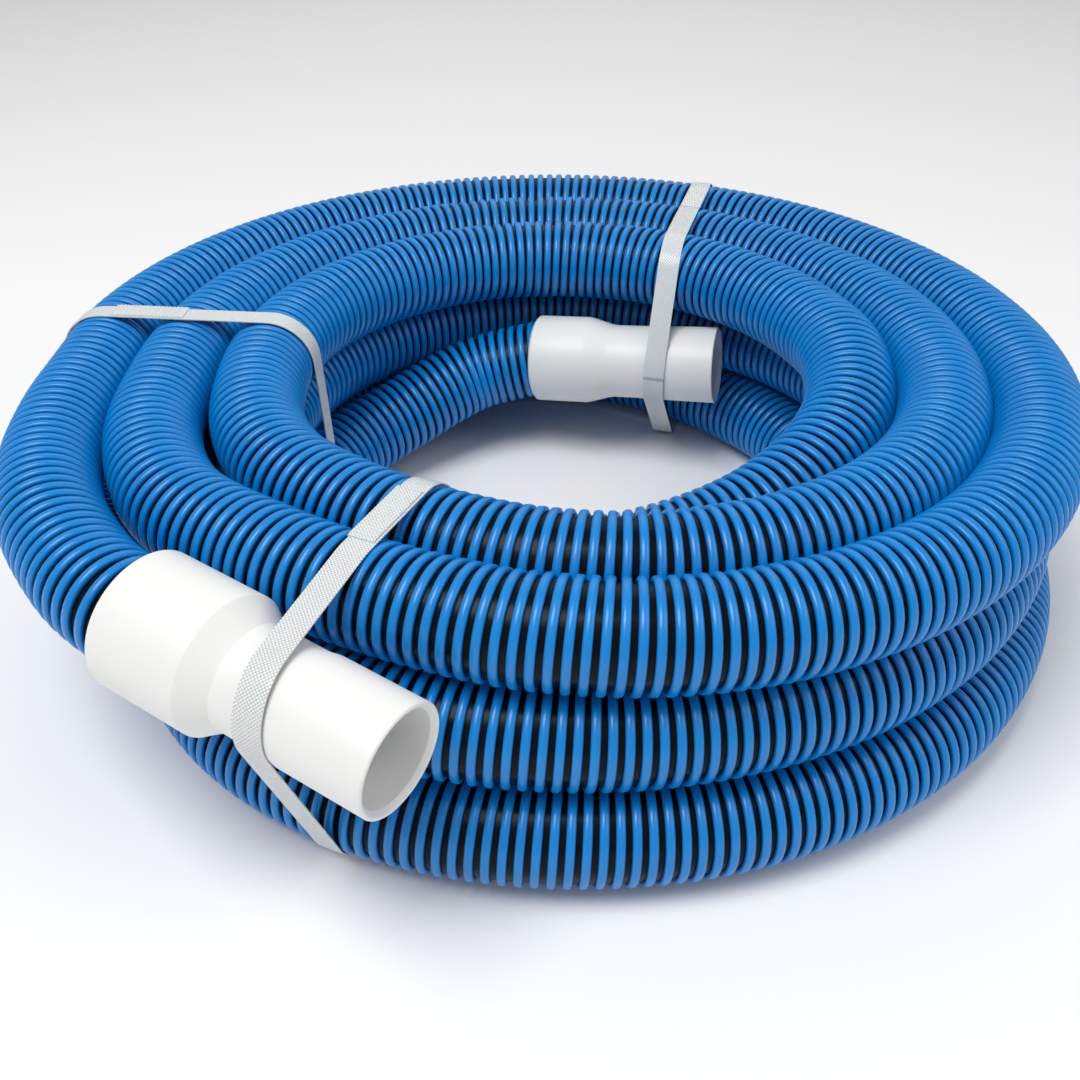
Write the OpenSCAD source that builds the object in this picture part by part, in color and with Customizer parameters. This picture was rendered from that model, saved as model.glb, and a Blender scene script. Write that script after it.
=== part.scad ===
// Spiral-wound pool vacuum hose, coiled in three layers and bound with three straps.
// A swivel cuff is on its outer end and a fixed cuff on its inner end.

/* [Hose] */
// Diameter over the crests of the hose's ribs
hose_od = 45; // [44:0.5:46]
// Bore of the hose
hose_bore = 38; // [34:0.5:38]
// Distance from one rib to the next along the hose
rib_pitch = 6; // [5.5:0.5:7]
// Width of one rib along the hose
rib_width = 3.6; // [3:0.1:4]
// Depth of the groove between two ribs
rib_depth = 2.2; // [1.8:0.1:2.4]

/* [Coil] */
// Centreline radius of the coil's outermost turn
outer_turn_r = 234; // [230:1:240]
// Distance between turns side by side, whose ribs nest into each other
turn_pitch = 43; // [43:0.5:44]
// Distance between layers
layer_pitch = 45; // [45:0.5:46]

/* [Cuffs] */
// Radius of each cuff's mouth, which a 38 mm hose connector slides into
mouth_r = 19.05; // [18.5:0.05:19.5]
// Depth of the mouth's bore
mouth_depth = 50; // [30:1:50]
// Length of the swivel cuff
swivel_len = 122; // [118:1:130]
// Diameter of the swivel cuff's collar
swivel_collar_d = 57; // [56:0.5:57]
// Length of the fixed cuff
fixed_len = 110; // [106:1:110]
// Diameter of the fixed cuff's collar
fixed_collar_d = 51.5; // [50.5:0.5:54]
// Diameter of both cuffs' necks
neck_d = 43; // [42.5:0.5:43]

/* [Straps] */
// Width of a strap
strap_w = 12; // [8:1:12]
// Thickness of a strap
strap_t = 0.8; // [0.6:0.1:1]
// Length of the welded overlap on top of a strap
weld_len = 38; // [20:1:40]

/* [Hidden] */

$fn = 96;

blue = "#1f78d1";
white = "#f2f2ee";
grey = "#3a3d40";
black = "#202224";
strap_white = "#e9edee";

// Clearance between solids that must not touch, and round the turning sleeve
gap = 0.2;
turning_gap = 0.3;

// The coil's solids are round tubes halfway between rib crest and groove, so turns stay apart
tube_d = turn_pitch - 2 * gap;
ring_d = layer_pitch - gap;
root_r = hose_od / 2 - rib_depth;

// Where the coil's upright axis stands, so that the part's box is centred on the origin
coil_axis = [2, 7.5, 0];

// Heights of the three layers' centrelines; the straps lie under the bottom layer
bottom_z = strap_t + gap + hose_od / 2;
middle_z = bottom_z + layer_pitch;
top_z = middle_z + layer_pitch;

// The top layer is a two-centre spiral: each half turn is half a pitch smaller than the last
half_step = turn_pitch / 2;
top_half_turns = 5;

// The lower layers are closed rings a little off the coil's axis: centre, inner and outer turn
middle_centre = [12, 4];
middle_turns = [168, 220];
bottom_centre = [6, 6];
bottom_turns = [152, 228];

// Where each cuff's hose end is, the way it points and how far it tilts up
swivel_pos = [-174, -182, 110];
swivel_heading = -37;
swivel_tilt = -4.5;
fixed_pos = [0, 122, 60];
fixed_heading = -20;
fixed_tilt = 5;

// Route from the top layer's innermost turn down to the middle layer
crossover_route = [[outer_turn_r - 4 * half_step, 0, top_z], [138, -46, 109], [110, -86, 101],
                   [70, -113, 92], [20, -124, 83], [-35, -122, 75], [-88, -108, 70],
                   [-131, -74, middle_z], [-153, -32, middle_z],
                   [-156, 4, middle_z]];
// Route from the top layer's outermost turn to the swivel cuff
front_route = [[-outer_turn_r, 0, top_z], [-238, -40, 114], [-237, -80, 114], [-225, -120, 114],
               [-204, -155, 112], swivel_pos];
// Route from the bottom layer's innermost turn up to the fixed cuff
back_route = [[-146, 0, bottom_z], [-140, 36, 25], [-119, 71, 28.5], [-85, 99, 36.5], [-40, 118.5, 50],
              fixed_pos];

// Swivel cuff, measured along its axis from the hose end
swivel_collar_len = 45;
swivel_neck_at = 54;
swivel_nozzle_at = 83;
nozzle_r = 22.3;
// Tapered way into both mouths, and the thickness that it leaves at the rim
lead_in = 2;
rim_w = 1.6;
cavity_r = 25.6;
cavity_len = 42;
groove_r = 26.3;
groove_at = 28;
groove_w = 4;
waterway_r = 18.5;

// Sleeve that the swivel cuff turns on
sleeve_r = 24.2;
sleeve_flange_r = 25.3;
sleeve_start = 2;
sleeve_len = 38;
sleeve_flange_w = 4;
hose_end_len = 34;
seal_r = 1.7;

// Fixed cuff, measured along its axis from the hose end
fixed_collar_len = 35;
fixed_neck_at = 48;
fixed_neck_end = 62;
fixed_flare_end = 76;

// Gap between a strap and a cuff's neck, which tilts inside it
neck_gap = 1.8;
// Along each cuff, where its strap crosses
swivel_strap_at = 71;
fixed_strap_at = 76;
side_strap_angle = 170;
front_strap_angle = -119;
// Where the crossover and the back lead pass inside a strap: distance from the axis and height
crossover_in_strap = [128.5, 73];
back_lead_in_strap = [144, 25];

facets = 10;

// Direction of a heading and a tilt, in degrees
function aim(heading, tilt) = [cos(heading) * cos(tilt), sin(heading) * cos(tilt), sin(tilt)];

// Point at t from 0 to 1 between p[i] and p[i + 1] on a smooth curve through all points
function before(p, i) = i == 0 ? 2 * p[0] - p[1] : p[i - 1];
function after(p, i) = i + 2 > len(p) - 1 ? 2 * p[len(p) - 1] - p[len(p) - 2] : p[i + 2];
function smooth_point(p, i, t) =
    let (a = before(p, i), b = p[i], c = p[i + 1], d = after(p, i))
    b + t * ((c - a) / 2 + t * (a - 2.5 * b + 2 * c - d / 2 + t * (1.5 * (b - c) + (d - a) / 2)));
function smooth_route(p) = [
    for (i = [0 : len(p) - 2]) each [smooth_point(p, i, 0), smooth_point(p, i, 0.5)],
    p[len(p) - 1]
];

function unit(v) = v / norm(v);
function ends_dir(p, i, first, last) =
    i == 0 ? first : i == len(p) - 1 ? last : unit(p[i + 1] - p[i - 1]);

// Round tube along a route that is nowhere upright; first and last are its end directions
module swept_tube(route, first, last, d) {
    p = smooth_route(route);
    n = len(p);
    // The flats' corners lie on the tube's circle
    rings = [for (i = [0 : n - 1])
        let (f = ends_dir(p, i, first, last), s = unit(cross(f, [0, 0, 1])), u = cross(s, f))
        [for (k = [0 : facets - 1]) p[i] + d / 2 * (cos(360 * k / facets) * s + sin(360 * k / facets) * u)]];
    sides = [for (i = [0 : n - 2], k = [0 : facets - 1])
        let (m = (k + 1) % facets)
        [i * facets + k, (i + 1) * facets + k, (i + 1) * facets + m, i * facets + m]];
    caps = [[for (k = [0 : facets - 1]) k], [for (k = [facets - 1 : -1 : 0]) (n - 1) * facets + k]];
    translate(coil_axis)
        polyhedron(points = [for (r = rings) each r], faces = concat(sides, caps), convexity = 8);
}

// Half turn k of the top layer; even ones pass behind the axis and odd ones in front of it
module half_turn(k) {
    radius = outer_turn_r - k * half_step;
    behind = k % 2 == 0;
    translate(coil_axis + [behind ? 0 : half_step, 0, top_z])
        rotate([0, 0, behind ? 0 : 180])
            rotate_extrude(angle = 180)
                translate([radius, 0])
                    circle(d = tube_d);
}

// Closed ring with the outer shape of a layer whose turns lie between two radii
module layer_ring(centre, turns, z) {
    translate(coil_axis + [centre[0], centre[1], z])
        rotate_extrude() {
            for (radius = turns)
                translate([radius, 0])
                    circle(d = ring_d);
            translate([turns[0], -ring_d / 2])
                square([turns[1] - turns[0], ring_d]);
        }
}

// Places children that are drawn along +Z from a cuff's hose end
module on_cuff(pos, heading, tilt) {
    translate(coil_axis + pos)
        rotate([0, 0, heading])
            rotate([0, 90 - tilt, 0])
                children();
}

module on_swivel() {
    on_cuff(swivel_pos, swivel_heading, swivel_tilt) children();
}

module on_fixed() {
    on_cuff(fixed_pos, fixed_heading, fixed_tilt) children();
}

module hose_top_layer() {
    color(blue)
        for (k = [0 : top_half_turns - 1])
            half_turn(k);
}

module hose_middle_layer() {
    color(blue)
        layer_ring(middle_centre, middle_turns, middle_z);
}

module hose_bottom_layer() {
    color(blue)
        layer_ring(bottom_centre, bottom_turns, bottom_z);
}

module hose_crossover() {
    color(blue)
        swept_tube(crossover_route, [0, -1, 0], [0, 1, 0], tube_d);
}

module hose_front_lead() {
    color(blue)
        swept_tube(front_route, [0, -1, 0], aim(swivel_heading, swivel_tilt), tube_d);
}

module hose_back_lead() {
    color(blue)
        swept_tube(back_route, [0, 1, 0], aim(fixed_heading, fixed_tilt), tube_d);
}

// The hose's real wall and ribs, where it is screwed into a cuff
module hose_end() {
    ribs = floor((hose_end_len - rib_width) / rib_pitch);
    rotate_extrude() {
        translate([hose_bore / 2, 0])
            square([root_r - hose_bore / 2, hose_end_len]);
        for (i = [0 : ribs])
            translate([hose_bore / 2 + 0.5, i * rib_pitch])
                square([hose_od / 2 - gap - hose_bore / 2 - 0.5, rib_width]);
    }
}

module hose_front_end() {
    color(blue)
        on_swivel()
            hose_end();
}

module hose_back_end() {
    color(blue)
        on_fixed()
            hose_end();
}

// Thread ridges that lie in the hose's grooves
module thread_ridges(from_groove, wall_r) {
    ridge_w = rib_pitch - rib_width - 2 * gap;
    grooves = floor((hose_end_len - rib_pitch) / rib_pitch);
    for (i = [from_groove : grooves])
        translate([root_r + gap, i * rib_pitch + rib_width + gap])
            square([wall_r - root_r - gap, ridge_w]);
}

module swivel_sleeve() {
    color(grey)
        on_swivel()
            rotate_extrude() {
                translate([hose_od / 2, sleeve_start])
                    square([sleeve_r - hose_od / 2, sleeve_len - sleeve_start]);
                translate([hose_od / 2, sleeve_len - sleeve_flange_w])
                    square([sleeve_flange_r - hose_od / 2, sleeve_flange_w]);
                translate([hose_bore / 2, hose_end_len + gap])
                    square([sleeve_r - hose_bore / 2, sleeve_len - hose_end_len - gap]);
                thread_ridges(0, hose_od / 2 + 0.5);
            }
}

module swivel_seal_ring() {
    color(black)
        on_swivel()
            translate([0, 0, (sleeve_len + cavity_len) / 2])
                rotate_extrude()
                    translate([(hose_bore / 2 + cavity_r) / 2, 0])
                        circle(r = seal_r);
}

module swivel_retaining_ring() {
    color(white)
        on_swivel()
            translate([0, 0, groove_at + gap / 2])
                rotate_extrude()
                    translate([sleeve_r + turning_gap, 0])
                        square([groove_r - gap / 2 - sleeve_r - turning_gap, groove_w - gap]);
}

// Half outline of a mouth's bore and of the tapered way into it
module mouth_cut(length) {
    translate([0, length - mouth_depth])
        square([mouth_r, mouth_depth - lead_in]);
    polygon([[0, length - lead_in], [mouth_r, length - lead_in], [nozzle_r - rim_w, length],
             [nozzle_r - rim_w, length + 1], [0, length + 1]]);
}

module swivel_cuff() {
    collar_r = swivel_collar_d / 2;
    color(white)
        on_swivel()
            rotate_extrude()
                difference() {
                    polygon([[waterway_r, 0], [collar_r - 1, 0], [collar_r, 1],
                             [collar_r, swivel_collar_len - 1.5], [collar_r - 1.2, swivel_collar_len],
                             [neck_d / 2, swivel_neck_at], [neck_d / 2, swivel_nozzle_at - 5],
                             [nozzle_r, swivel_nozzle_at], [nozzle_r, swivel_len - 0.8],
                             [nozzle_r - 0.8, swivel_len], [waterway_r, swivel_len]]);
                    translate([0, -1])
                        square([cavity_r, cavity_len + 1]);
                    translate([0, groove_at])
                        square([groove_r, groove_w]);
                    mouth_cut(swivel_len);
                }
}

module fixed_cuff() {
    collar_r = fixed_collar_d / 2;
    color(white)
        on_fixed()
            rotate_extrude() {
                difference() {
                    polygon([[waterway_r, 0], [collar_r - 1.5, 0], [collar_r, 1.5],
                             [collar_r, fixed_collar_len - 3], [collar_r - 0.7, fixed_collar_len],
                             [neck_d / 2 + 0.7, fixed_neck_at - 3], [neck_d / 2, fixed_neck_at],
                             [neck_d / 2, fixed_neck_end], [nozzle_r - 0.4, fixed_flare_end],
                             [nozzle_r, fixed_len - 0.8], [nozzle_r - 0.8, fixed_len],
                             [waterway_r, fixed_len]]);
                    translate([0, -1])
                        square([hose_od / 2, hose_end_len + gap + 1]);
                    mouth_cut(fixed_len);
                }
                thread_ridges(0, hose_od / 2 + 0.5);
            }
}

// Where a turn crosses the upright plane at angle a that passes off to one side of the axis by
// offset: [distance along the plane, height, radius, how much the slanting cut widens it]
function crossing(centre, radius, z, a, offset) =
    let (along = centre[0] * cos(a) + centre[1] * sin(a),
         off = offset + centre[1] * cos(a) - centre[0] * sin(a),
         reach = sqrt(radius * radius - off * off))
    [along + reach, z, hose_od / 2, radius / reach];

// Crossings at both edges of a strap
function crossings(centre, radius, z, a, offset) =
    [for (edge = [-strap_w / 2, strap_w / 2]) crossing(centre, radius, z, a, offset + edge)];

// All that a strap is pulled round in its plane, apart from cuffs and leads
function lower_turns(a, offset) = [
    for (radius = middle_turns) each crossings(middle_centre, radius, middle_z, a, offset),
    for (radius = bottom_turns) each crossings(bottom_centre, radius, bottom_z, a, offset)
];
function top_turn(k, a, offset) =
    crossings([k % 2 == 0 ? 0 : half_step, 0], outer_turn_r - k * half_step, top_z, a, offset);
function top_turns(ks, a, offset) = [for (k = ks) each top_turn(k, a, offset)];
function neck_circle(neck, a) =
    [neck[0] * cos(a) + neck[1] * sin(a), neck[2], neck_d / 2 + neck_gap - gap, 1];
function lead_circle(place) = concat(place, hose_od / 2, 1);

module around(circles, grow) {
    hull()
        for (c = circles)
            translate([c[0], c[1]])
                scale([c[3], 1])
                    circle(r = c[2] + grow, $fn = 48);
}

// Strap in the upright plane at angle a that passes off to one side of the axis by offset
module strap(a, offset, circles, weld_from) {
    top = top_z + hose_od / 2 + gap + strap_t;
    color(strap_white)
        translate(coil_axis)
            rotate([90, 0, a])
                translate([0, 0, offset - strap_w / 2])
                    linear_extrude(strap_w) {
                        difference() {
                            around(circles, gap + strap_t);
                            around(circles, gap);
                        }
                        translate([weld_from, top])
                            square([weld_len, strap_t]);
                    }
}

module front_strap() {
    a = front_strap_angle;
    neck = swivel_pos + swivel_strap_at * aim(swivel_heading, swivel_tilt);
    offset = neck[0] * sin(a) - neck[1] * cos(a);
    circles = concat(lower_turns(a, offset), top_turns([1, 3], a, offset),
                     [lead_circle(crossover_in_strap), neck_circle(neck, a)]);
    strap(a, offset, circles, top_turn(3, a, offset)[0][0]);
}

module side_strap() {
    a = side_strap_angle;
    circles = concat(lower_turns(a, 0), top_turns([0, 2, 4], a, 0), [lead_circle(back_lead_in_strap)]);
    strap(a, 0, circles, top_turn(2, a, 0)[0][0]);
}

module back_strap() {
    a = fixed_heading + 90;
    neck = fixed_pos + fixed_strap_at * aim(fixed_heading, fixed_tilt);
    offset = neck[0] * sin(a) - neck[1] * cos(a);
    circles = concat(lower_turns(a, offset), top_turns([0, 2, 4], a, offset), [neck_circle(neck, a)]);
    strap(a, offset, circles, top_turn(2, a, offset)[0][0]);
}

hose_top_layer();
hose_middle_layer();
hose_bottom_layer();
hose_crossover();
hose_front_lead();
hose_back_lead();
hose_front_end();
hose_back_end();
swivel_sleeve();
swivel_seal_ring();
swivel_retaining_ring();
swivel_cuff();
fixed_cuff();
front_strap();
side_strap();
back_strap();
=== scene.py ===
"""Pool vacuum hose, coiled in three layers, with its cuffs and strapping bands."""
import logging
import math
from dataclasses import dataclass
from enum import Enum

import bpy
import numpy as np
from mathutils import Matrix, Vector


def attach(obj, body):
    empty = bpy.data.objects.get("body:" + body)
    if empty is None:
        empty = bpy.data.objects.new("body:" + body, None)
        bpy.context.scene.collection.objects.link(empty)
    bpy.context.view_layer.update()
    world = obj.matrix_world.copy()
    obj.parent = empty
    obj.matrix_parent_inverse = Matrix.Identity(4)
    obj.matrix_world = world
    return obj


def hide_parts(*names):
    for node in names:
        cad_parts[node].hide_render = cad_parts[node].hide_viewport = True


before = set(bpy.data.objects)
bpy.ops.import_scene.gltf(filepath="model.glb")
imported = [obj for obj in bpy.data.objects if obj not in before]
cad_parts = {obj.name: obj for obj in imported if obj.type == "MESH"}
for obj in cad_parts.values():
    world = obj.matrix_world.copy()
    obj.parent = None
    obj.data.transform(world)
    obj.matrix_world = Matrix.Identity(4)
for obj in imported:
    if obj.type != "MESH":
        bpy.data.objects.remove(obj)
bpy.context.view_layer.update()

LOG = logging.getLogger("pool_hose")
MM = 0.001
COIL_AXIS = np.array([2.0, 7.5, 0.0])


class Slot(Enum):
    """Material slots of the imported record."""

    RIB = "hose_rib"
    WALL = "hose_wall"
    SLEEVE = "sleeve"
    SEAL = "seal"
    CUFF = "cuff"
    STRAP = "strap"


class Pattern(Enum):
    """Relief that a finish has on top of its grain."""

    PLAIN = "plain"
    DIAMOND = "diamond"


def surface_group() -> bpy.types.NodeTree:
    """Builds the shared grain and handling wear, once.

    Returns:
        Group with mottle, wear and height outputs, which change over the surface.
    """
    found = bpy.data.node_groups.get("moulded_surface")
    if found:
        return found
    tree = bpy.data.node_groups.new("moulded_surface", "ShaderNodeTree")
    face = tree.interface
    for name, default in (("Grain Scale", 900.0), ("Mottle Scale", 30.0), ("Scuff Amount", 0.3)):
        socket = face.new_socket(name, in_out="INPUT", socket_type="NodeSocketFloat")
        socket.default_value = default
    for name in ("Mottle", "Wear", "Height"):
        face.new_socket(name, in_out="OUTPUT", socket_type="NodeSocketFloat")
    nodes, links = tree.nodes, tree.links
    inputs = nodes.new("NodeGroupInput")
    outputs = nodes.new("NodeGroupOutput")
    place = nodes.new("ShaderNodeTexCoord")
    grain = nodes.new("ShaderNodeTexNoise")
    grain.inputs["Detail"].default_value = 3.0
    mottle = nodes.new("ShaderNodeTexNoise")
    mottle.inputs["Detail"].default_value = 5.0
    stretch = nodes.new("ShaderNodeMapping")
    stretch.inputs["Scale"].default_value = (260.0, 260.0, 38.0)
    scuff = nodes.new("ShaderNodeTexNoise")
    scuff.inputs["Scale"].default_value = 1.0
    scuff.inputs["Detail"].default_value = 6.0
    scuff.inputs["Roughness"].default_value = 0.7
    pick = nodes.new("ShaderNodeMapRange")
    pick.inputs["From Min"].default_value = 0.56
    pick.inputs["From Max"].default_value = 0.72
    amount = nodes.new("ShaderNodeMath")
    amount.operation = "MULTIPLY"
    dent = nodes.new("ShaderNodeMath")
    dent.operation = "MULTIPLY_ADD"
    dent.inputs[1].default_value = -0.35
    links.new(place.outputs["Object"], grain.inputs["Vector"])
    links.new(place.outputs["Object"], mottle.inputs["Vector"])
    links.new(place.outputs["Object"], stretch.inputs["Vector"])
    links.new(stretch.outputs["Vector"], scuff.inputs["Vector"])
    links.new(inputs.outputs["Grain Scale"], grain.inputs["Scale"])
    links.new(inputs.outputs["Mottle Scale"], mottle.inputs["Scale"])
    links.new(scuff.outputs["Fac"], pick.inputs["Value"])
    links.new(pick.outputs["Result"], amount.inputs[0])
    links.new(inputs.outputs["Scuff Amount"], amount.inputs[1])
    links.new(amount.outputs["Value"], dent.inputs[0])
    links.new(grain.outputs["Fac"], dent.inputs[2])
    links.new(mottle.outputs["Fac"], outputs.inputs["Mottle"])
    links.new(amount.outputs["Value"], outputs.inputs["Wear"])
    links.new(dent.outputs["Value"], outputs.inputs["Height"])
    return tree


def diamond_group() -> bpy.types.NodeTree:
    """Builds the diamond relief rolled into strapping, from a UV map in metres.

    Returns:
        Group with one height output, from 0 in the grooves to 1 on the diamonds.
    """
    found = bpy.data.node_groups.get("diamond_relief")
    if found:
        return found
    tree = bpy.data.node_groups.new("diamond_relief", "ShaderNodeTree")
    pitch = tree.interface.new_socket("Pitch", in_out="INPUT", socket_type="NodeSocketFloat")
    pitch.default_value = 0.0016
    tree.interface.new_socket("Height", in_out="OUTPUT", socket_type="NodeSocketFloat")
    nodes, links = tree.nodes, tree.links
    inputs = nodes.new("NodeGroupInput")
    outputs = nodes.new("NodeGroupOutput")
    uv = nodes.new("ShaderNodeTexCoord")
    split = nodes.new("ShaderNodeSeparateXYZ")
    links.new(uv.outputs["UV"], split.inputs[0])

    def math_node(kind: str, a: object, b: object) -> bpy.types.NodeSocket:
        """Adds one Math node.

        Args:
            kind: Its operation.
            a: First input, a socket or a number.
            b: Second input, a socket or a number.

        Returns:
            Its output.
        """
        made = nodes.new("ShaderNodeMath")
        made.operation = kind
        for at, value in enumerate((a, b)):
            if isinstance(value, bpy.types.NodeSocket):
                links.new(value, made.inputs[at])
            else:
                made.inputs[at].default_value = value
        return made.outputs[0]

    waves = []
    for kind in ("ADD", "SUBTRACT"):
        slant = math_node(kind, split.outputs["X"], split.outputs["Y"])
        turns = math_node("DIVIDE", slant, inputs.outputs["Pitch"])
        wave = math_node("SINE", math_node("MULTIPLY", turns, math.pi), 0.0)
        waves.append(math_node("ABSOLUTE", wave, 0.0))
    both = math_node("MINIMUM", waves[0], waves[1])
    height = math_node("MINIMUM", math_node("MULTIPLY", both, 2.2), 1.0)
    links.new(height, outputs.inputs["Height"])
    return tree


@dataclass(frozen=True)
class Finish:
    """One procedural finish, built once as a material."""

    name: str
    slot: Slot
    base: tuple[float, float, float]
    shade: tuple[float, float, float]
    smooth: float
    rough: float
    bump_mm: float
    grain_scale: float = 900.0
    mottle_scale: float = 30.0
    scuff: float = 0.3
    coat: float = 0.0
    specular: float = 0.5
    subsurface: float = 0.0
    pattern: Pattern = Pattern.PLAIN
    relief_mm: float = 0.0

    def material(self) -> bpy.types.Material:
        """Returns this finish's material, building it the first time."""
        found = bpy.data.materials.get(self.name)
        if found:
            return found
        made = bpy.data.materials.new(self.name)
        made.use_nodes = True
        nodes, links = made.node_tree.nodes, made.node_tree.links
        shader = nodes["Principled BSDF"]
        shader.inputs["Coat Weight"].default_value = self.coat
        shader.inputs["Coat Roughness"].default_value = 0.25
        shader.inputs["Specular IOR Level"].default_value = self.specular
        shader.inputs["Subsurface Weight"].default_value = self.subsurface
        shader.inputs["Subsurface Scale"].default_value = 0.002
        surface = nodes.new("ShaderNodeGroup")
        surface.node_tree = surface_group()
        surface.inputs["Grain Scale"].default_value = self.grain_scale
        surface.inputs["Mottle Scale"].default_value = self.mottle_scale
        surface.inputs["Scuff Amount"].default_value = self.scuff
        colour = nodes.new("ShaderNodeMix")
        colour.data_type = "RGBA"
        colour.inputs["A"].default_value = (*self.shade, 1.0)
        colour.inputs["B"].default_value = (*self.base, 1.0)
        links.new(surface.outputs["Mottle"], colour.inputs["Factor"])
        links.new(colour.outputs["Result"], shader.inputs["Base Color"])
        gloss = nodes.new("ShaderNodeMapRange")
        gloss.inputs["To Min"].default_value = self.smooth
        gloss.inputs["To Max"].default_value = self.rough
        links.new(surface.outputs["Wear"], gloss.inputs["Value"])
        links.new(gloss.outputs["Result"], shader.inputs["Roughness"])
        bump = nodes.new("ShaderNodeBump")
        bump.inputs["Distance"].default_value = self.bump_mm * MM
        links.new(surface.outputs["Height"], bump.inputs["Height"])
        last = bump
        if self.pattern is Pattern.DIAMOND:
            relief = nodes.new("ShaderNodeGroup")
            relief.node_tree = diamond_group()
            last = nodes.new("ShaderNodeBump")
            last.inputs["Distance"].default_value = self.relief_mm * MM
            links.new(relief.outputs["Height"], last.inputs["Height"])
            links.new(bump.outputs["Normal"], last.inputs["Normal"])
        links.new(last.outputs["Normal"], shader.inputs["Normal"])
        return made

    def dress(self, piece: bpy.types.Object) -> None:
        """Gives a piece or a CAD node this finish alone."""
        count = max(1, len(piece.data.materials))
        piece.data.materials.clear()
        for _ in range(count):
            piece.data.materials.append(self.material())


RIB_BLUE = Finish("rib_azure_blue", Slot.RIB, (0.0, 0.235, 0.66), (0.0, 0.185, 0.55),
                  smooth=0.29, rough=0.46, bump_mm=0.02, coat=0.1, specular=0.4)
WALL_BLACK = Finish("wall_black", Slot.WALL, (0.004, 0.004, 0.006), (0.003, 0.003, 0.004),
                    smooth=0.26, rough=0.42, bump_mm=0.008, specular=0.1)
CUFF_WHITE = Finish("cuff_off_white", Slot.CUFF, (0.82, 0.825, 0.805), (0.79, 0.795, 0.775),
                    smooth=0.42, rough=0.6, bump_mm=0.012, grain_scale=1600.0, scuff=0.2, subsurface=0.12)
SLEEVE_GREY = Finish("sleeve_grey", Slot.SLEEVE, (0.05, 0.055, 0.06), (0.035, 0.038, 0.042),
                     smooth=0.4, rough=0.6, bump_mm=0.02)
SEAL_BLACK = Finish("seal_black", Slot.SEAL, (0.015, 0.016, 0.018), (0.01, 0.01, 0.012),
                    smooth=0.45, rough=0.65, bump_mm=0.03)
STRAP_WHITE = Finish("strap_milky_white", Slot.STRAP, (0.84, 0.86, 0.86), (0.76, 0.78, 0.78),
                     smooth=0.24, rough=0.45, bump_mm=0.008, coat=0.15, subsurface=0.2,
                     pattern=Pattern.DIAMOND, relief_mm=0.3)


def heading(turn: float, tilt: float) -> np.ndarray:
    """Returns the unit vector at a turn about Z and a tilt above level, in degrees."""
    h, t = math.radians(turn), math.radians(tilt)
    return np.array([math.cos(h) * math.cos(t), math.sin(h) * math.cos(t), math.sin(t)])


def between(points: np.ndarray, i: int, t: float) -> np.ndarray:
    """Gives a point on a smooth curve through all points.

    Args:
        points: The points, one a row.
        i: The span's first point.
        t: How far along the span, from 0 to 1.

    Returns:
        The point.
    """
    last = len(points) - 1
    b, c = points[i], points[i + 1]
    a = points[i - 1] if i else 2 * b - c
    d = points[i + 2] if i + 2 <= last else 2 * c - b
    return b + t * ((c - a) / 2 + t * (a - 2.5 * b + 2 * c - d / 2 + t * (1.5 * (b - c) + (d - a) / 2)))


def mesh_object(name: str, verts: np.ndarray, faces: list[tuple[int, ...]]) -> bpy.types.Object:
    """Makes a smooth-shaded object in the scene.

    Args:
        name: Its name.
        verts: Its vertices in millimetres.
        faces: Its faces.

    Returns:
        The object, at the origin.
    """
    data = bpy.data.meshes.new(name)
    data.from_pydata((verts * MM).tolist(), [], faces)
    data.update()
    made = bpy.data.objects.new(name, data)
    bpy.context.scene.collection.objects.link(made)
    data.polygons.foreach_set("use_smooth", [True] * len(data.polygons))
    return made


def take(piece: bpy.types.Object) -> None:
    """Selects one object alone and makes it active."""
    bpy.ops.object.select_all(action="DESELECT")
    piece.select_set(True)
    bpy.context.view_layer.objects.active = piece


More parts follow.
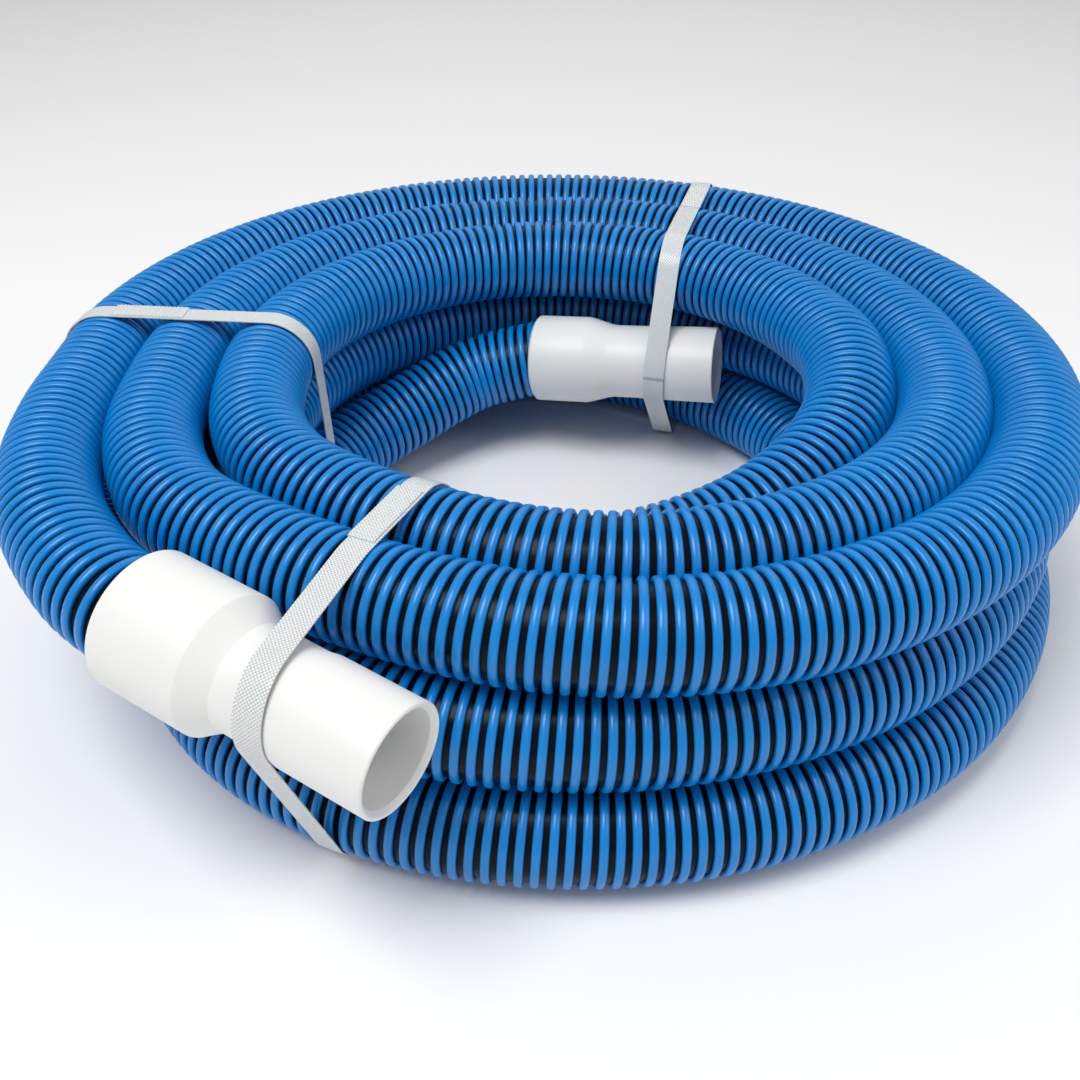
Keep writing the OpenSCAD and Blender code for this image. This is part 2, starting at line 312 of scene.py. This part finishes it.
@dataclass
class Hose:
    """The ribbed hose, wound in three layers from the swivel cuff to the fixed cuff.

    The top layer's second and third turns are pressed outwards against the first turn at nesting_at, by
    nesting, and pulled inwards past the swivel cuff's collar at tuck_at, by tuck. Both are one value for each
    half turn, in millimetres. The lower layers' radii are an eighth of a turn apart.
    """

    outer_d: float = 45.0
    wall_r: float = 20.3
    rib_pitch: float = 6.0
    rib_w: float = 3.75
    outer_turn_r: float = 234.0
    half_step: float = 21.5
    top_z: float = 113.5
    middle_z: float = 68.5
    bottom_z: float = 23.5
    rib_segments: int = 40
    wall_facets: int = 28
    rib_pieces: int = 6
    joins_at: float = 0.75
    into_cuff: float = 8.0
    straight: float = 14.0
    knot_steps: int = 40
    path_step: float = 4.0
    rib_foot: float = 0.4
    rib_draft: float = 0.05
    rib_side: float = 0.95
    rib_shoulder: float = 0.22
    rib_crest_share: float = 0.7
    nesting: tuple[float, ...] = (0.0, 12.0, 12.0, 5.0, 5.0)
    nesting_at: float = 335.0
    nesting_power: int = 20
    tuck: tuple[float, ...] = (0.0, 3.0, 0.0, 2.0, 0.0)
    tuck_at: float = 303.0
    tuck_power: int = 16
    middle_radii: tuple[float, ...] = (156, 165, 172, 178, 180, 177, 173, 176,
                                       199, 208, 215.5, 222, 226, 223, 215, 216.5)
    ramp: tuple[tuple[float, float], ...] = ((239, 50), (239, 31))
    bottom_radii: tuple[float, ...] = (236.5, 237, 236, 232, 224, 218, 196, 192, 188,
                                       170, 162, 158, 154, 149, 146)

    def top_turns(self) -> list[tuple[float, float, float]]:
        """Winds the top layer as half turns, each half a pitch smaller and off the last one's centre."""
        points = []
        for k, (bulge, tuck) in enumerate(zip(self.nesting, self.tuck)):
            centre = self.half_step if k % 2 else 0.0
            for step in range(12):
                turn = math.radians(180 * k + 15 * step)
                facing_nest = max(0.0, math.cos(turn - math.radians(self.nesting_at)))
                facing_tuck = max(0.0, math.cos(turn - math.radians(self.tuck_at)))
                nested = bulge * facing_nest ** self.nesting_power
                tucked = tuck * facing_tuck ** self.tuck_power
                radius = self.outer_turn_r - k * self.half_step + nested - tucked
                points.append((centre - radius * math.cos(turn), radius * math.sin(turn), self.top_z))
        return points

    def lower_turns(self) -> list[tuple[float, float, float]]:
        """Winds the middle layer outwards and then the bottom layer inwards.

        Returns:
            Points 15 degrees apart, through a radius and a height at each eighth of a turn.
        """
        eighths = np.array([*[(radius, self.middle_z) for radius in self.middle_radii], *self.ramp,
                            *[(radius, self.bottom_z) for radius in self.bottom_radii]])
        points = []
        for step in range(3 * (len(eighths) - 1) + 1):
            i = min(step // 3, len(eighths) - 2)
            radius, height = between(eighths, i, step / 3 - i)
            turn = math.radians(15 * step)
            points.append((-radius * math.cos(turn), radius * math.sin(turn), height))
        return points

    def route(self, start: "Cuff", end: "Cuff") -> np.ndarray:
        """Gives the centreline, evenly spaced.

        Args:
            start: Cuff that the hose leaves.
            end: Cuff that the hose goes into.

        Returns:
            Points in millimetres, on the model's own axes.
        """
        lead_in = [start.at(along) - COIL_AXIS for along in (self.into_cuff, 0.0, -self.straight)]
        lead_in += [(-202, -154, 112), (-222, -119, 114), (-233, -80, 114), (-236, -40, 114)]
        crossover = [(148, 0, self.top_z), (138, -46, 109), (110, -86, 101), (70, -113, 92), (20, -124, 83),
                     (-33, -119, 76), (-82, -99, 70), (-123, -67, self.middle_z), (-147, -35, self.middle_z)]
        lead_out = [(-140, 36, 25), (-119, 71, 28.5), (-85, 99, 36.5), (-42, 121, 50)]
        lead_out += [end.at(0) - COIL_AXIS, end.at(self.into_cuff) - COIL_AXIS]
        knots = np.array([*lead_in, *self.top_turns(), *crossover, *self.lower_turns(), *lead_out], float)
        shares = np.linspace(0, 1, self.knot_steps, endpoint=False)
        fine = [between(knots, i, t) for i in range(len(knots) - 1) for t in shares]
        fine = np.array([*fine, knots[-1]])
        along = np.r_[0, np.cumsum(np.linalg.norm(np.diff(fine, axis=0), axis=1))]
        even = np.linspace(0, along[-1], int(along[-1] / self.path_step) + 1)
        return np.stack([np.interp(even, along, fine[:, k]) for k in range(3)], axis=1) + COIL_AXIS

    def frames(self, path: np.ndarray, at: np.ndarray) -> tuple[np.ndarray, ...]:
        """Gives centres and directions along a path.

        Args:
            path: Evenly spaced centreline.
            at: Distances along it, as shares of its point count.

        Returns:
            Centres, tangents, sideways and upward directions.
        """
        tangents = np.gradient(path, axis=0)
        index = np.arange(len(path))
        centre = np.stack([np.interp(at, index, path[:, k]) for k in range(3)], axis=1)
        ahead = np.stack([np.interp(at, index, tangents[:, k]) for k in range(3)], axis=1)
        ahead /= np.linalg.norm(ahead, axis=1)[:, None]
        side = np.cross(ahead, [0.0, 0.0, 1.0])
        side /= np.linalg.norm(side, axis=1)[:, None]
        return centre, ahead, side, np.cross(side, ahead)

    def wall(self, path: np.ndarray) -> bpy.types.Object:
        """Builds the black wall seen between the ribs.

        Args:
            path: Evenly spaced centreline.

        Returns:
            A closed tube with one ring at each point.
        """
        centre, _, side, up = self.frames(path, np.arange(len(path), dtype=float))
        n, m = len(path), self.wall_facets
        turn = np.linspace(0, 2 * math.pi, m, endpoint=False)
        out = side[:, None] * np.cos(turn)[None, :, None] + up[:, None] * np.sin(turn)[None, :, None]
        verts = (centre[:, None] + self.wall_r * out).reshape(-1, 3)
        faces = [(i * m + k, (i + 1) * m + k, (i + 1) * m + (k + 1) % m, i * m + (k + 1) % m)
                 for i in range(n - 1) for k in range(m)]
        faces += [tuple(range(m)), tuple((n - 1) * m + k for k in reversed(range(m)))]
        return mesh_object("hose_wall", verts, faces)

    def ribs(self, path: np.ndarray, piece: int) -> bpy.types.Object:
        """Builds one length of the rounded bead that is wound round the wall.

        Args:
            path: Evenly spaced centreline.
            piece: Which of the equal lengths, from 0.

        Returns:
            The bead, with its ends closed.
        """
        length = np.linalg.norm(np.diff(path, axis=0), axis=1).sum()
        turns = int(length / self.rib_pitch) - 2
        first, last = turns * piece // self.rib_pieces, turns * (piece + 1) // self.rib_pieces
        count = (last - first) * self.rib_segments + 1
        wound = first + self.joins_at + np.arange(count) / self.rib_segments
        at = (wound + 0.5) * self.rib_pitch / length * (len(path) - 1)
        centre, ahead, side, up = self.frames(path, at)
        turn = 2 * math.pi * wound[:, None]
        out = side * np.cos(turn) + up * np.sin(turn)
        half, crest = self.rib_w / 2, self.outer_d / 2
        foot, side_r, shoulder = self.wall_r - self.rib_foot, crest - self.rib_side, crest - self.rib_shoulder
        inner, top = half - self.rib_draft, half * self.rib_crest_share
        profile = [(inner, foot), (half, side_r), (top, shoulder), (0.0, crest),
                   (-top, shoulder), (-half, side_r), (-inner, foot)]
        verts = np.stack([centre + ahead * a + out * r for a, r in profile], axis=1).reshape(-1, 3)
        m = len(profile)
        faces = [(i * m + k, i * m + (k + 1) % m, (i + 1) * m + (k + 1) % m, (i + 1) * m + k)
                 for i in range(count - 1) for k in range(m)]
        faces += [tuple(reversed(range(m))), tuple((count - 1) * m + k for k in range(m))]
        bead = mesh_object(f"hose_ribs_{piece + 1}", verts, faces)
        for cap in (-2, -1):
            bead.data.polygons[cap].use_smooth = False
        return bead

    def build(self, start: "Cuff", end: "Cuff", ends: list[bpy.types.Object]) -> np.ndarray:
        """Args:
            start: Swivel cuff.
            end: Fixed cuff.
            ends: Finished pieces that are on the hose; not used.

        Returns:
            Its centreline in millimetres.
        """
        path = self.route(start, end)
        wall = self.wall(path)
        WALL_BLACK.dress(wall)
        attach(wall, "coil")
        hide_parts("hose_top_layer", "hose_middle_layer", "hose_bottom_layer", "hose_crossover",
                    "hose_front_lead", "hose_back_lead")
        for piece in range(self.rib_pieces):
            bead = self.ribs(path, piece)
            RIB_BLUE.dress(bead)
            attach(bead, "coil")
            LOG.info("%s: %d faces", bead.name, len(bead.data.polygons))
        return path


@dataclass
class Cuff:
    """A moulded cuff, turned from a closed outline about its own axis."""

    name: str
    node: str
    body: str
    base: tuple[float, float, float]
    turn: float
    tilt: float
    outline: tuple[tuple[float, float], ...]
    steps: int = 128
    edge_r: float = 0.45
    edge_segments: int = 3
    edge_angle: float = 20.0

    def at(self, along: float) -> np.ndarray:
        """Returns the point that far along the axis from the hose end, in millimetres."""
        return np.array(self.base) + COIL_AXIS + along * heading(self.turn, self.tilt)

    def build(self) -> bpy.types.Object:
        """Spins the outline, rounds its edges and puts it in place.

        Returns:
            The finished cuff.
        """
        bpy.ops.object.select_all(action="DESELECT")
        bpy.ops.mesh.primitive_circle_add(vertices=len(self.outline), radius=0.01)
        piece = bpy.context.object
        piece.name = self.name
        for vert, (radius, height) in zip(piece.data.vertices, self.outline):
            vert.co = (radius * MM, 0.0, height * MM)
        bpy.ops.object.mode_set(mode="EDIT")
        bpy.ops.mesh.select_all(action="SELECT")
        bpy.ops.mesh.spin(steps=self.steps, angle=2 * math.pi, center=(0, 0, 0), axis=(0, 0, 1))
        bpy.ops.mesh.select_all(action="SELECT")
        bpy.ops.mesh.remove_doubles(threshold=1e-6)
        bpy.ops.mesh.normals_make_consistent(inside=False)
        bpy.ops.object.mode_set(mode="OBJECT")
        bevel = piece.modifiers.new("rounded", "BEVEL")
        bevel.width = self.edge_r * MM
        bevel.segments = self.edge_segments
        bevel.limit_method = "ANGLE"
        bevel.angle_limit = math.radians(self.edge_angle)
        bpy.ops.object.modifier_apply(modifier=bevel.name)
        bpy.ops.object.shade_smooth_by_angle(angle=math.radians(35))
        aim = Vector(heading(self.turn, self.tilt))
        place = Matrix.Translation(Vector(self.at(0)) * MM) @ aim.to_track_quat("Z", "Y").to_matrix().to_4x4()
        piece.data.transform(place)
        piece.matrix_world = Matrix.Identity(4)
        CUFF_WHITE.dress(piece)
        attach(piece, self.body)
        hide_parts(self.node)
        LOG.info("%s: %d faces", piece.name, len(piece.data.polygons))
        return piece


@dataclass
class Strap:
    """A flat strapping band pulled tight round the coil, with a welded overlap on top."""

    name: str
    node: str
    angle: float
    width: float = 12.0
    thickness: float = 0.8
    step: float = 2.0
    ridges: int = 6
    pulled_r: float = 23.4
    edge: float = 0.15
    foot_in: float = 0.2
    ridge_depth: float = 0.14
    weld_lines: int = 39
    weld_groove: float = 0.3
    weld_band: float = 0.3
    weld_sink: float = 0.1
    weld_half: float = 5.9
    weld_taper: float = 0.2
    weld_skew: float = 0.7

    def crossings(self, path: np.ndarray, along: np.ndarray, across: np.ndarray, offset: float) -> np.ndarray:
        """Outlines each turn of the hose where it crosses the band, as far out as the band's outer face.

        Args:
            path: Centreline of the hose.
            along: Direction of the band's plane.
            across: Direction across the band.
            offset: The band's distance off the axis.

        Returns:
            Points in the band's own plane.
        """
        places = []
        for edge in (-self.width / 2, 0.0, self.width / 2):
            side = path @ across - offset - edge
            met = np.flatnonzero((side[:-1] * side[1:] <= 0) & (path[:-1] @ along > 0))
            places += [(path[i] @ along, path[i][2]) for i in met]
        turn = np.radians(np.arange(0.0, 360.0, 6.0))
        circle = self.pulled_r * np.stack([np.cos(turn), np.sin(turn)], axis=1)
        return (np.array(places)[:, None] + circle).reshape(-1, 2)

    def outline(self, path: np.ndarray) -> tuple[np.ndarray, float, tuple[float, float], float]:
        """Pulls the band's outer outline round its solid in the frame and the turns of the hose.

        Args:
            path: Centreline of the hose.

        Returns:
            The outline in the band's own plane, the band's distance off the axis, the weld's ends and
            its height.
        """
        turn = math.radians(self.angle)
        along = np.array([math.cos(turn), math.sin(turn), 0.0])
        across = np.array([math.sin(turn), -math.cos(turn), 0.0])
        solid = np.array([v.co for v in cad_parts[self.node].data.vertices]) / MM
        flat = np.stack([solid @ along, solid[:, 2]], axis=1)
        weld_top = flat[:, 1].max()
        weld = flat[flat[:, 1] > weld_top - self.weld_band][:, 0]
        offset = float((solid @ across).mean())
        turns = self.crossings(path, along, across, offset)
        flat = np.vstack([flat[flat[:, 1] < weld_top - self.weld_band], turns[turns[:, 1] >= 0.0]])
        flat = np.unique(np.round(flat, 4), axis=0)
        hull: list[np.ndarray] = []
        for points in (flat, flat[::-1]):
            chain: list[np.ndarray] = []
            for p in points:
                while len(chain) > 1 and np.cross(chain[-1] - chain[-2], p - chain[-2]) <= 0:
                    chain.pop()
                chain.append(p)
            hull += chain[:-1]
        loop = np.array([*hull, hull[0]])
        run = np.r_[0, np.cumsum(np.linalg.norm(np.diff(loop, axis=0), axis=1))]
        even = np.linspace(0, run[-1], int(run[-1] / self.step), endpoint=False)
        ring = np.stack([np.interp(even, run, loop[:, k]) for k in range(2)], axis=1)
        return ring, offset, (weld.min(), weld.max()), weld_top

    def section(self) -> list[tuple[float, float]]:
        """Returns the band's cross-section: places across it and heights above its inner face."""
        half, columns = self.width / 2, 2 * self.ridges
        shoulder, foot = self.thickness - self.edge, half - self.foot_in
        top = [(-half + self.width * k / columns, self.thickness - (self.ridge_depth if k % 2 else 0.0))
               for k in range(1, columns)]
        return [(-half, self.edge), (-half, shoulder), *top, (half, shoulder), (half, self.edge),
                (foot, 0.0), (-foot, 0.0)]

    def build(self, path: np.ndarray) -> bpy.types.Object:
        """Builds the band and its weld.

        Args:
            path: Centreline of the hose.

        Returns:
            The finished strap.
        """
        ring, offset, weld, weld_top = self.outline(path)
        ahead = np.roll(ring, -1, axis=0) - np.roll(ring, 1, axis=0)
        ahead /= np.linalg.norm(ahead, axis=1)[:, None]
        outward = np.stack([ahead[:, 1], -ahead[:, 0]], axis=1)
        section = self.section()
        n, m = len(ring), len(section)
        rows = [(ring + outward * (h - self.thickness), y) for y, h in section]
        flat = np.stack([np.c_[p, np.full(n, y + 0.0)] for p, y in rows], axis=1).reshape(-1, 3)
        faces = [(i * m + k, i * m + (k + 1) % m, (i + 1) % n * m + (k + 1) % m, (i + 1) % n * m + k)
                 for i in range(n) for k in range(m)]
        patch_from = len(flat)
        lines = np.linspace(weld[0], weld[1], self.weld_lines)
        low, high = self.weld_skew - self.weld_half, self.weld_skew + self.weld_half
        patch = []
        for i, x in enumerate(lines):
            lift = weld_top - self.weld_groove * ((i % 2) + (i in (0, len(lines) - 1)))
            patch += [(x, weld_top - self.thickness - self.weld_sink, y) for y in (low, high)]
            patch += [(x, lift, y) for y in (high - self.weld_taper, low + self.weld_taper)]
        flat = np.vstack([flat, patch])
        for i in range(len(lines) - 1):
            this, following = patch_from + 4 * i, patch_from + 4 * i + 4
            faces += [(this + k, this + (k + 1) % 4, following + (k + 1) % 4, following + k)
                      for k in range(4)]
        end = patch_from + 4 * (len(lines) - 1)
        faces += [tuple(patch_from + k for k in (3, 2, 1, 0)), tuple(end + k for k in range(4))]
        turn = math.radians(self.angle)
        along = np.array([math.cos(turn), math.sin(turn), 0.0])
        across = np.array([math.sin(turn), -math.cos(turn), 0.0])
        up = np.array([0.0, 0.0, 1.0])
        verts = flat[:, :1] * along + flat[:, 1:2] * up + (flat[:, 2:] + offset) * across
        piece = mesh_object(self.name, verts, faces)
        run = np.arange(n) * self.step
        uv = piece.data.uv_layers.new(name="along_strap")
        place = np.zeros((len(verts), 2))
        place[:patch_from] = np.stack([np.tile([y for y, _ in section], n), np.repeat(run, m)], axis=1)
        place[patch_from:] = flat[patch_from:][:, [2, 0]]
        for loop in piece.data.loops:
            uv.data[loop.index].uv = place[loop.vertex_index] * MM
        take(piece)
        bpy.ops.object.mode_set(mode="EDIT")
        bpy.ops.mesh.select_all(action="SELECT")
        bpy.ops.mesh.normals_make_consistent(inside=False)
        bpy.ops.object.mode_set(mode="OBJECT")
        bpy.ops.object.shade_smooth_by_angle(angle=math.radians(30))
        STRAP_WHITE.dress(piece)
        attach(piece, "coil")
        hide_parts(self.node)
        LOG.info("%s: %d faces", piece.name, len(piece.data.polygons))
        return piece


SWIVEL = Cuff("swivel_cuff_shell", "swivel_cuff", "swivel", (-174.0, -182.0, 110.0), -37.0, -4.5, (
    (25.6, 0.0), (27.7, 0.0), (28.5, 0.9), (28.5, 43.5), (27.3, 45.0), (21.5, 54.0), (21.5, 78.0),
    (22.3, 83.0), (22.3, 121.4), (21.8, 122.0), (20.7, 122.0), (19.05, 120.0), (19.05, 72.0),
    (18.5, 72.0), (18.5, 42.0), (25.6, 42.0), (25.6, 32.0), (26.3, 32.0), (26.3, 28.0), (25.6, 28.0)))
FIXED = Cuff("fixed_cuff_shell", "fixed_cuff", "coil", (0.0, 122.0, 60.0), -20.0, 5.0, (
    (22.55, 0.0), (24.4, 0.0), (25.75, 1.4), (25.75, 32.0), (25.05, 35.0), (22.2, 45.0), (21.5, 48.0),
    (21.5, 62.0), (21.9, 76.0), (22.3, 109.4), (21.8, 110.0), (20.7, 110.0), (19.05, 108.0),
    (19.05, 60.0), (18.5, 60.0), (18.5, 34.2), (22.55, 34.2)))


@dataclass(frozen=True)
class Lamp:
    """One soft square area lamp: its place in metres, the length of its side and its power in watts."""

    name: str
    place: tuple[float, float, float]
    size: float
    power: float


@dataclass
class Studio:
    """Pale floor, soft lights and the camera."""

    lens: float = 40.37
    elevation: float = 34.58
    yaw: float = -4.63
    place: tuple[float, float, float] = (-0.0513, -0.5426, 0.399)
    shift: tuple[float, float] = (-0.0008, -0.0135)
    aim: tuple[float, float, float] = (0.0, 0.0, 0.06)
    surround: float = 0.45
    lamps: tuple[Lamp, ...] = (Lamp("key_lamp", (-0.6, -0.55, 1.7), 0.9, 22.0),
                               Lamp("fill_lamp", (1.2, -0.5, 1.1), 1.0, 5.0),
                               Lamp("back_lamp", (0.2, 1.4, 1.3), 1.2, 3.0))

    def camera(self) -> None:
        """Adds the camera and makes it the scene's."""
        data = bpy.data.cameras.new("camera")
        data.lens = self.lens
        data.sensor_width = 36.0
        data.shift_x, data.shift_y = self.shift
        data.clip_start = 0.01
        made = bpy.data.objects.new("camera", data)
        made.location = self.place
        made.rotation_euler = (math.radians(90 - self.elevation), 0.0, math.radians(self.yaw))
        bpy.context.scene.collection.objects.link(made)
        bpy.context.scene.camera = made

    def light(self, lamp: Lamp) -> None:
        """Adds one lamp that faces the coil.

        Args:
            lamp: Its description.
        """
        data = bpy.data.lights.new(lamp.name, "AREA")
        data.size, data.energy = lamp.size, lamp.power
        made = bpy.data.objects.new(lamp.name, data)
        made.location = lamp.place
        facing = Vector(self.aim) - Vector(lamp.place)
        made.rotation_euler = facing.to_track_quat("-Z", "Y").to_euler()
        bpy.context.scene.collection.objects.link(made)

    def floor(self) -> None:
        """Adds the plain pale floor, which reaches the horizon."""
        bpy.ops.object.select_all(action="DESELECT")
        bpy.ops.mesh.primitive_plane_add(size=60.0, location=(0, 0, 0))
        floor = bpy.context.object
        floor.name = "studio_floor"
        pale = bpy.data.materials.new("floor_pale")
        pale.use_nodes = True
        shader = pale.node_tree.nodes["Principled BSDF"]
        shader.inputs["Base Color"].default_value = (0.94, 0.94, 0.94, 1.0)
        shader.inputs["Roughness"].default_value = 0.9
        floor.data.materials.append(pale)

    def build(self) -> None:
        """Sets up the whole studio."""
        self.floor()
        for lamp in self.lamps:
            self.light(lamp)
        world = bpy.data.worlds.new("studio")
        world.use_nodes = True
        world.node_tree.nodes["Background"].inputs["Color"].default_value = (1.0, 1.0, 1.0, 1.0)
        world.node_tree.nodes["Background"].inputs["Strength"].default_value = self.surround
        bpy.context.scene.world = world
        bpy.context.scene.view_settings.view_transform = "Standard"


def dress_nodes() -> None:
    """Gives each carried-over CAD node its finish."""
    finishes = {"hose_front_end": WALL_BLACK, "hose_back_end": WALL_BLACK, "swivel_sleeve": SLEEVE_GREY,
                "swivel_seal_ring": SEAL_BLACK, "swivel_retaining_ring": CUFF_WHITE}
    for node, finish in finishes.items():
        finish.dress(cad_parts[node])
        LOG.info("%s dressed as %s", node, finish.name)


def main() -> None:
    """Builds the camera, the hose and everything on it."""
    logging.basicConfig(level=logging.INFO, format="%(message)s")
    studio = Studio()
    studio.camera()
    cuffs = [SWIVEL.build(), FIXED.build()]
    path = Hose().build(SWIVEL, FIXED, cuffs)
    for name, angle in (("front_strap", -119.0), ("side_strap", 170.0), ("back_strap", 70.0)):
        Strap(f"{name}_band", name, angle).build(path)
    dress_nodes()
    studio.build()


if __name__ == "__main__":
    main()
